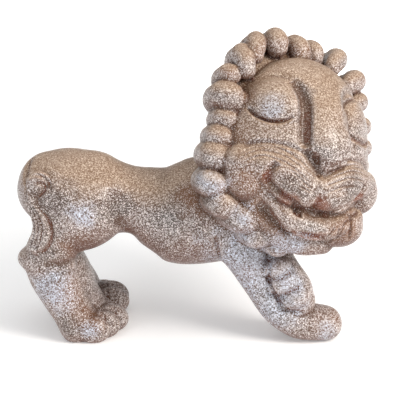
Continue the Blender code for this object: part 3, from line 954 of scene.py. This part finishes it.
# %% [markdown]
# ## Where glaze runs, where it breaks, and where shade is painted
#
# Glaze pools in creases, where it turns dark and plain, and thins on edges, where it turns light. The dark in
# creases and broad valleys is also painted shade. All of it needs to know how hollow or how proud each point
# is. Baking that into an image would work, but a point attribute needs no picture: the mesh is smoothed, and
# how far each point lies under or over the smooth surface is its hollowness. A few rounds of smoothing find
# narrow creases, and many find broad valleys.


# %% Measure the hollows and the edges
def smoothed(points, ends, rounds):
    """The points after rounds of averaging each with its neighbours."""
    count = np.bincount(ends.ravel(), minlength=len(points))[:, None]
    for _ in range(rounds):
        total = np.empty_like(points)
        for axis in range(3):
            there = points[ends[:, 1], axis]
            here = points[ends[:, 0], axis]
            total[:, axis] = np.bincount(ends[:, 0], there, len(points))
            total[:, axis] += np.bincount(ends[:, 1], here, len(points))
        points = 0.5 * points + 0.5 * total / count
    return points


# %% Store them on the lion
# Name, rounds of averaging, and the depth in millimetres that counts as fully hollow or proud.
# The valley level's darkening of broad hollows is painted shade.
LEVELS = (("crease", 6, 0.25), ("valley", 180, 3))
unthinned = Surface(worked)
ends = np.empty(len(worked.edges) * 2, int)
worked.edges.foreach_get("vertices", ends)
nearest = KDTree(len(worked.vertices))
for place, vertex in enumerate(worked.vertices):
    nearest.insert(vertex.co, place)
nearest.balance()
unshift = Vector((-shift[0], -shift[1], 0))
below = [nearest.find(vertex.co + unshift)[1] for vertex in lion_mesh.vertices]
for name, rounds, full in LEVELS:
    relaxed = smoothed(unthinned.points, ends.reshape(-1, 2), rounds)
    depth = ((relaxed - unthinned.points) * unthinned.normals).sum(axis=1) / MM
    depth = np.clip(depth[below] / full, -1, 1)
    lion_mesh.attributes.new(name, "FLOAT", "POINT").data.foreach_set("value", depth)
    print(f"{name}: hollow on {(depth > 0.5).mean():.1%} of the points, proud on {(depth < -0.5).mean():.1%}")

# %% [markdown]
# ## The speckle in the glaze
#
# The glaze is a reddish brown full of pale flecks, about a millimetre across, that melted out of it. An
# image would repeat or stretch over the form. Solid noise in the lion's own coordinates doesn't. Voronoi
# cells give one round fleck each, a slow noise bends them out of round, and every fleck gets its own
# brightness. The effect is a node group, so that each size of fleck can share it.

# %% Values of the speckle
# The most that the noise bends a fleck, in metres, and the volume of a fleck's ball, in cells, at full cover.
FLECK_BEND = 0.0012
FULL_VOLUME = 0.36


# %% The speckle group
def speckle_group():
    """Round flecks of a size in millimetres: Fleck is 1 on a fleck, and Shade is its own random number."""
    tree = bpy.data.node_groups.new("glaze speckle", "ShaderNodeTree")
    for name, value in (("Fleck Size", 1.1), ("Cover", 0.45), ("Softness", 0.10)):
        made = tree.interface.new_socket(name, in_out="INPUT", socket_type="NodeSocketFloat")
        made.default_value = value
    for name in ("Fleck", "Shade"):
        tree.interface.new_socket(name, in_out="OUTPUT", socket_type="NodeSocketFloat")
    given = tree.nodes.new("NodeGroupInput").outputs
    result = tree.nodes.new("NodeGroupOutput").inputs
    scale = maths(tree, "DIVIDE", 1000, given["Fleck Size"])
    place = tree.nodes.new("ShaderNodeTexCoord").outputs["Object"]
    bend = node(tree, "ShaderNodeTexNoise", Vector=place, Scale=scale).outputs["Color"]
    moved = maths(tree, "MULTIPLY_ADD", bend, [FLECK_BEND] * 3, place, kind="VectorMath")
    cells = node(tree, "ShaderNodeTexVoronoi", Vector=moved, Scale=scale).outputs
    # The radius, in cells, at which round flecks fill the wanted share of the glaze.
    volume = maths(tree, "MULTIPLY", maths(tree, "MAXIMUM", given["Cover"], 0), FULL_VOLUME)
    reach = maths(tree, "POWER", volume, 1 / 3)
    inside = maths(tree, "SUBTRACT", reach, cells["Distance"])
    mask = clamped(tree, "ADD", maths(tree, "DIVIDE", inside, given["Softness"]), 0.5)
    tree.links.new(mask, result["Fleck"])
    parts = node(tree, "ShaderNodeSeparateColor", Color=cells["Color"])
    tree.links.new(parts.outputs[0], result["Shade"])
    return tree


# %% [markdown]
# ## Where the glaze came out bluish, brown, rusty or dark, and where shade is painted
#
# A thick or thin coat, and the kiln's heat, give the glaze large patches. Some brown, dark and rust spots are
# painted shade: the mane's shadow on the shoulder, the jaw hollow below the mouth's corner and the groove
# under
# the lower lip. A mask painted by hand would be an image. Soft round spots are numbers that anyone can move:
# each has a centre and a radius in millimetres, and noise wears its edge, so that no circle shows.

# %% Values of the spots
RAGGED_SCALE = 90
RAGGED = 1.2
SPOT_CONTRAST = 1.6


# %% The spot group
def spot_group():
    """A soft round spot: 1 at a centre, 0 at its radius, with a ragged edge."""
    tree = bpy.data.node_groups.new("glaze spot", "ShaderNodeTree")
    tree.interface.new_socket("Centre", in_out="INPUT", socket_type="NodeSocketVector")
    tree.interface.new_socket("Radius", in_out="INPUT", socket_type="NodeSocketFloat").default_value = 0.03
    tree.interface.new_socket("Spot", in_out="OUTPUT", socket_type="NodeSocketFloat")
    given = tree.nodes.new("NodeGroupInput").outputs
    place = tree.nodes.new("ShaderNodeTexCoord").outputs["Object"]
    away = maths(tree, "DISTANCE", place, given["Centre"], kind="VectorMath").node.outputs["Value"]
    ragged = node(tree, "ShaderNodeTexNoise", Vector=place, Scale=RAGGED_SCALE).outputs[0]
    share = maths(tree, "DIVIDE", away, given["Radius"])
    worn = maths(tree, "MULTIPLY_ADD", ragged, RAGGED, -RAGGED / 2)
    level = maths(tree, "ADD", maths(tree, "SUBTRACT", 1, share), worn)
    soft = clamped(tree, "MULTIPLY", level, SPOT_CONTRAST)
    tree.links.new(soft, tree.nodes.new("NodeGroupOutput").inputs["Spot"])
    return tree


# %% The spots of the glaze and of painted shade: x, y, z and radius, in millimetres
BLUE_SPOTS = (
    (38, -38, 70, 46), (68, -62, 92, 24), (28, -60, 98, 22), (62, -30, 35, 34), (-116, -42, 48, 24),
    (80, -72, 101, 15), (33, -64, 122, 12), (9, -62, 148, 18), (55, -42, 202, 14), (73, -45, 58, 22),
    (-90, -44, 112, 14), (-88, -44, 14, 11), (104, -38, 10, 11),
)
# Brown spots: partly the glaze's own warm patches, partly painted shade in the jaw hollow, by a muzzle pad
# and on the shoulder under the mane.
BROWN_AND_SHADE_SPOTS = (
    (45, -3, 240, 26), (79, 19, 233, 24), (105, 8, 218, 22), (22, -22, 222, 16), (37, -66, 144, 27),
    (48, -60, 127, 17), (55, -60, 119, 17), (62, -60, 111, 15), (-86, -36, 28, 18), (28, -22, 56, 12),
    (38, -20, 36, 12), (50, -20, 16, 12), (-97, -38, 46, 18), (-84, -36, 80, 12), (115, -28, 24, 13),
    (114, -54, 106, 26), (39, -20, 206, 16), (31, -44, 176, 16), (-2, -32, 126, 22), (-80, -40, 28, 16),
    (-96, -37, 84, 18),
)
# Rust spots: rust in the glaze, and under the lower lip also the groove's painted shade.
RUST_AND_SHADE_SPOTS = (
    (72, -67, 108, 7), (80, -67, 106, 8), (89, -66, 105, 8), (51, -64, 153, 6), (123, -40, 128, 6),
    (67, -69, 138, 9), (91, -67, 130, 9),
)
# Dark spots: partly the glaze's own dark patches, partly painted shade: the mane's shadow on the shoulder,
# the jaw hollow and the groove at the head's lower edge.
DARK_AND_SHADE_SPOTS = (
    (-118, -38, 122, 26), (-62, -36, 118, 20), (79, -31, 209, 11), (76, -67, 127, 8), (-104, -41, 16, 16),
    (-112, -40, 72, 22), (-2, -46, 128, 30), (26, -66, 108, 18), (112, -52, 98, 26), (84, -72, 115, 16),
    (116, -56, 112, 14), (69, -74, 145, 20), (118, -52, 136, 18), (100, -67, 124, 14), (-83, -37, 34, 17),
    (51, -62, 124, 11), (59, -62, 114, 11),
)


# %% Helpers for the glaze
def ramp(tree, source, stops):
    """A colour ramp with the given (place, colour) stops."""
    made = node(tree, "ShaderNodeValToRGB", Fac=source)
    elements = made.color_ramp.elements
    while len(elements) < len(stops):
        elements.new(0.5)
    for element, (place, colour) in zip(elements, stops):
        element.position = place
        element.color = (*colour, 1)
    return made.outputs["Color"]


def mixed(tree, share, first, second):
    """Two colours mixed by a share; the second can be a plain colour."""
    made = tree.nodes.new("ShaderNodeMix")
    made.data_type = "RGBA"
    tree.links.new(share, made.inputs[0])
    for socket, value in zip(made.inputs[6:8], (first, second)):
        put(tree, (*value, 1) if isinstance(value, tuple) else value, socket)
    return made.outputs[2]


# %% Helpers for places on the glaze
def patches(tree, size):
    """Slow changes over the surface, `size` mm across."""
    place = tree.nodes.new("ShaderNodeTexCoord").outputs["Object"]
    noise = node(tree, "ShaderNodeTexNoise", Vector=place, Scale=1000 / size, Detail=3)
    noise.noise_dimensions = "4D"
    noise.inputs["W"].default_value = PATCH_SEED
    return noise.outputs[0]


def spots(tree, places):
    """The strongest of several spots at each point."""
    total = 0
    for *centre, radius in places:
        spot = tree.nodes.new("ShaderNodeGroup")
        spot.node_tree = SPOT
        spot.inputs["Centre"].default_value = [value * MM for value in centre]
        spot.inputs["Radius"].default_value = radius * MM
        total = maths(tree, "MAXIMUM", total, spot.outputs["Spot"])
    return total


# %% [markdown]
# ## The glaze
#
# The glaze is layered as in the kiln, with painted light in it: a brown ground, changed to tan where it faces
# up, which is painted warm top light, and to red brown underneath, which is painted shade, dark and plain
# where it pools, partly painted shade, and pale flecks on top, with a satin gloss over all. One Principled
# shader carries it. Masks say where each layer shows, and the same fleck mask drives the colour, the
# roughness and a slight relief, so that they agree.

# %% The colours of the glaze, and of painted top light and painted shade
BROWN = (0.138, 0.070, 0.047)
DARK = (0.075, 0.055, 0.046)
PALE = (0.84, 0.765, 0.735)
BLUE = (0.72, 0.76, 0.86)
# Tan on what faces up, on the ground and on the flecks, is painted warm top light.
TOP_LIGHT_GROUND = (0.220, 0.130, 0.078)
TOP_LIGHT_FLECKS = (0.65, 0.51, 0.39)
# Red brown on what faces down is painted shade.
UNDERSIDE_SHADE = (0.120, 0.050, 0.032)
# Dark and plain in creases and valleys: glaze pooling, and painted shade.
POOL_AND_SHADE = (0.095, 0.045, 0.025)
RUST = (0.150, 0.040, 0.018)
RIM = (0.55, 0.39, 0.30)
WARM = (0.165, 0.076, 0.040)
PATCH_SIZE = 30
PATCH_SEED = 1
GROUND = ((0.35, BROWN), (0.70, DARK))
# Each layer of the ground, from the first laid to the last: its mask, its strength and its colour.
# Of these, the tan on what faces up is painted warm top light, the red brown underneath painted shade, and
# the dark, warm, low and bare layers partly painted shade.
GROUND_LAYERS = (
    ("dark", 0.7, DARK),
    ("warm", 1, WARM),
    ("under", 1, UNDERSIDE_SHADE),
    ("top", 1, TOP_LIGHT_GROUND),
    ("low", 1, POOL_AND_SHADE),
    ("bare", 1, RUST),
)

# %% The flecks of the glaze
# More flecks where the glaze is bluish or stands proud, fewer where it is dark, underneath and in hollows.
# Fewer flecks underneath are painted shade; in hollows and in the dark, warm and rust spots they are partly
# painted shade.
COVER = 0.17
COVER_CHANGES = (
    ("blue", 0.16),
    ("over valley", 0.08),
    ("dark", -0.08),
    ("warm", -0.05),
    ("rust", -0.12),
    ("under", -0.12),
    ("low", -0.15),
)
LEAST_COVER = 0.04
# Size in millimetres, brightness, and share of the cover.
FLECKS = ((0.85, 0.9, 1), (1.35, 0.9, 0.9), (2.1, 1, 0.45))
# A fleck's brightness is its own random number times the first, plus the second.
SHADES = (0.75, 0.25)


# %% The masks: where each layer of the glaze shows
# Each pair is a mask's slope and its value at zero: tan, which is painted warm top light, by how far the
# surface faces up and by its height in metres, red brown, which is painted shade, by how far it faces down,
# and bare rust by how deep the crease is.
UPWARD = (1.9, -0.45)
ABOVE_FEET = (14, -0.6)
DOWNWARD = (-2, -0.15)
DEEPEST = (4, -3)
DEEPEST_BARE = 0.5
CREASE_POOL_AND_SHADE = 0.9
BLUE_HIDES_TOP_LIGHT = -0.3
DARK_HIDES_TOP_LIGHT = -0.8


def glaze_masks(tree):
    masks = {
        "blue": spots(tree, BLUE_SPOTS),
        "dark": spots(tree, DARK_AND_SHADE_SPOTS),
        "warm": spots(tree, BROWN_AND_SHADE_SPOTS),
        "rust": spots(tree, RUST_AND_SHADE_SPOTS),
    }
    for name, _, _ in LEVELS:
        stored = tree.nodes.new("ShaderNodeAttribute")
        stored.attribute_name = name
        masks[name] = clamped(tree, "MULTIPLY", stored.outputs["Fac"], 1)
        masks["over " + name] = clamped(tree, "MULTIPLY", stored.outputs["Fac"], -1)
    # The low mask darkens creases and broad valleys, as glaze pooling and as painted shade.
    masks["low"] = clamped(tree, "MULTIPLY_ADD", masks["crease"], CREASE_POOL_AND_SHADE, masks["valley"])
    deepest = clamped(tree, "MULTIPLY_ADD", masks["crease"], *DEEPEST)
    masks["bare"] = maths(tree, "MAXIMUM", maths(tree, "MULTIPLY", deepest, DEEPEST_BARE), masks["rust"])

    # Painted warm top light, in tan, lies on what faces up, above the feet, and less in the bluish and the
    # dark spots.
    sources = (("NewGeometry", "Normal"), ("TexCoord", "Object"))
    vectors = [tree.nodes.new("ShaderNode" + kind).outputs[name] for kind, name in sources]
    rise, height = [node(tree, "ShaderNodeSeparateXYZ", Vector=each).outputs["Z"] for each in vectors]
    high = clamped(tree, "MULTIPLY_ADD", height, *ABOVE_FEET)
    high = clamped(tree, "MULTIPLY_ADD", masks["blue"], BLUE_HIDES_TOP_LIGHT, high)
    high = clamped(tree, "MULTIPLY_ADD", masks["dark"], DARK_HIDES_TOP_LIGHT, high)
    upward = clamped(tree, "MULTIPLY_ADD", rise, *UPWARD)
    masks["top"] = maths(tree, "MULTIPLY", upward, high)
    # Painted shade: red brown on what faces down.
    masks["under"] = clamped(tree, "MULTIPLY_ADD", rise, *DOWNWARD)
    return masks


# %% The fleck mask
def fleck_mask(tree, masks):
    cover = COVER
    for name, change in COVER_CHANGES:
        cover = maths(tree, "MULTIPLY_ADD", masks[name], change, cover)
    cover = maths(tree, "MAXIMUM", cover, LEAST_COVER)
    flecks = 0
    for size, strength, share in FLECKS:
        speckle = tree.nodes.new("ShaderNodeGroup")
        speckle.node_tree = SPECKLE
        speckle.inputs["Fleck Size"].default_value = size
        tree.links.new(maths(tree, "MULTIPLY", cover, share), speckle.inputs["Cover"])
        shade = maths(tree, "MULTIPLY_ADD", speckle.outputs["Shade"], *SHADES)
        bright = maths(tree, "MULTIPLY", speckle.outputs["Fleck"], shade)
        flecks = maths(tree, "MAXIMUM", flecks, maths(tree, "MULTIPLY", bright, strength))
    return flecks


# %% The colour, from the ground up
# Flecks on what faces up turn tan as painted warm top light.
TOP_LIGHT_ON_FLECKS = 0.9
RIM_STRENGTH = 0.2


def glaze_colour(tree, masks, fleck):
    ground = ramp(tree, patches(tree, PATCH_SIZE), GROUND)
    for name, most, colour in GROUND_LAYERS:
        ground = mixed(tree, maths(tree, "MULTIPLY", masks[name], most), ground, colour)
    pale = mixed(tree, masks["blue"], PALE, BLUE)
    pale = mixed(tree, maths(tree, "MULTIPLY", masks["top"], TOP_LIGHT_ON_FLECKS), pale, TOP_LIGHT_FLECKS)
    colour = mixed(tree, fleck, ground, pale)
    return mixed(tree, maths(tree, "MULTIPLY", masks["over crease"], RIM_STRENGTH), colour, RIM)


# %% Lay the glaze on the lion
# How much rougher a fleck is than the ground, and the ground's own roughness.
ROUGHNESS = (0.12, 0.32)
GLOSS = {"Specular IOR Level": 0.3, "Coat Weight": 0.1, "Coat Roughness": 0.2}
RELIEF = {"Strength": 0.3, "Distance": 0.0002}


def set_values(made, values):
    for name, value in values.items():
        made.inputs[name].default_value = value


def glaze_nodes(material):
    material.use_nodes = True
    tree = material.node_tree
    shader = tree.nodes["Principled BSDF"]
    masks = glaze_masks(tree)
    fleck = fleck_mask(tree, masks)
    tree.links.new(glaze_colour(tree, masks, fleck), shader.inputs["Base Color"])
    tree.links.new(maths(tree, "MULTIPLY_ADD", fleck, *ROUGHNESS), shader.inputs["Roughness"])
    set_values(shader, GLOSS)
    bump = node(tree, "ShaderNodeBump", Height=fleck, **RELIEF)
    tree.links.new(bump.outputs["Normal"], shader.inputs["Normal"])


SPECKLE = speckle_group()
SPOT = spot_group()
glaze_nodes(glaze)
lion_mesh.materials.clear()
lion_mesh.materials.append(glaze)
print("glaze:", len(glaze.node_tree.nodes), "nodes")

# %% [markdown]
# ## A white floor, soft light and the camera
#
# The figurine stands on a plain white sheet in a light studio. A dim even sky and one wide lamp under the
# ceiling fill the shadows. The key light stands at the front right, at half height, and a weak cool one
# fills from low on the left. The sheet glows a little, and a lamp behind the lion lights its far end, so
# that it runs into white without an edge.

# %% The floor
sheet = bpy.data.meshes.new("floor")
clay = bmesh.new()
bmesh.ops.create_grid(clay, x_segments=1, y_segments=1, size=6)
clay.to_mesh(sheet)
clay.free()
floor = added("floor", sheet)
paper = bpy.data.materials.new("white_paper")
paper.use_nodes = True
PAPER = {
    "Base Color": (0.93, 0.93, 0.93, 1),
    "Roughness": 1,
    "Specular IOR Level": 0,
    "Emission Color": (1, 1, 1, 1),
    "Emission Strength": 0.2,
}
set_values(paper.node_tree.nodes["Principled BSDF"], PAPER)
sheet.materials.append(paper)

# %% The sky and the lamps: name, place, target, width, power and colour
SKY = {"Color": (0.95, 0.97, 1, 1), "Strength": 0.33}
CENTRE = (0, 0, 0.12)
LAMPS = (
    ("ceiling", (0, 0.3, 2.2), (0, 0.3, 0), 4, 33, (1, 0.98, 0.95)),
    ("key", (0.95, -0.55, 0.9), CENTRE, 0.6, 16, (1, 0.96, 0.91)),
    ("fill", (-0.9, -0.9, 0.35), CENTRE, 0.7, 4, (0.90, 0.94, 1)),
    ("far sheet", (0, 1.2, 1), (0, 2.6, 0), 1.5, 25, (1, 1, 1)),
)


def aim(item, place, target):
    item.location = place
    item.rotation_euler = (Vector(target) - Vector(place)).to_track_quat("-Z", "Y").to_euler()


world = bpy.data.worlds.new("studio")
world.use_nodes = True
set_values(world.node_tree.nodes["Background"], SKY)
bpy.context.scene.world = world
for name, place, target, width, power, colour in LAMPS:
    light = bpy.data.lights.new(name, "AREA")
    light.shape = "DISK"
    light.size = width
    light.energy = power
    light.color = colour
    aim(added(name, light), place, target)
print(len(LAMPS), "lamps")

# %% The camera: metres and degrees
CAMERA_RISE = 20
CAMERA_AWAY = 0.770
AIM_HEIGHT = 0.110
LENS = 85
target = Vector((shift[0], shift[1], AIM_HEIGHT))
rise = math.radians(CAMERA_RISE)
lens = bpy.data.cameras.new("camera")
lens.lens = LENS
camera = added("camera", lens)
aim(camera, target + Vector((0, -math.cos(rise), math.sin(rise))) * CAMERA_AWAY, target)
bpy.context.scene.camera = camera
bpy.context.scene.view_settings.view_transform = "Standard"
print(f"camera {CAMERA_AWAY} m away, {CAMERA_RISE} degrees up")

# %% Hand the piece to the frame
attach(lion, "root")
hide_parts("lion")
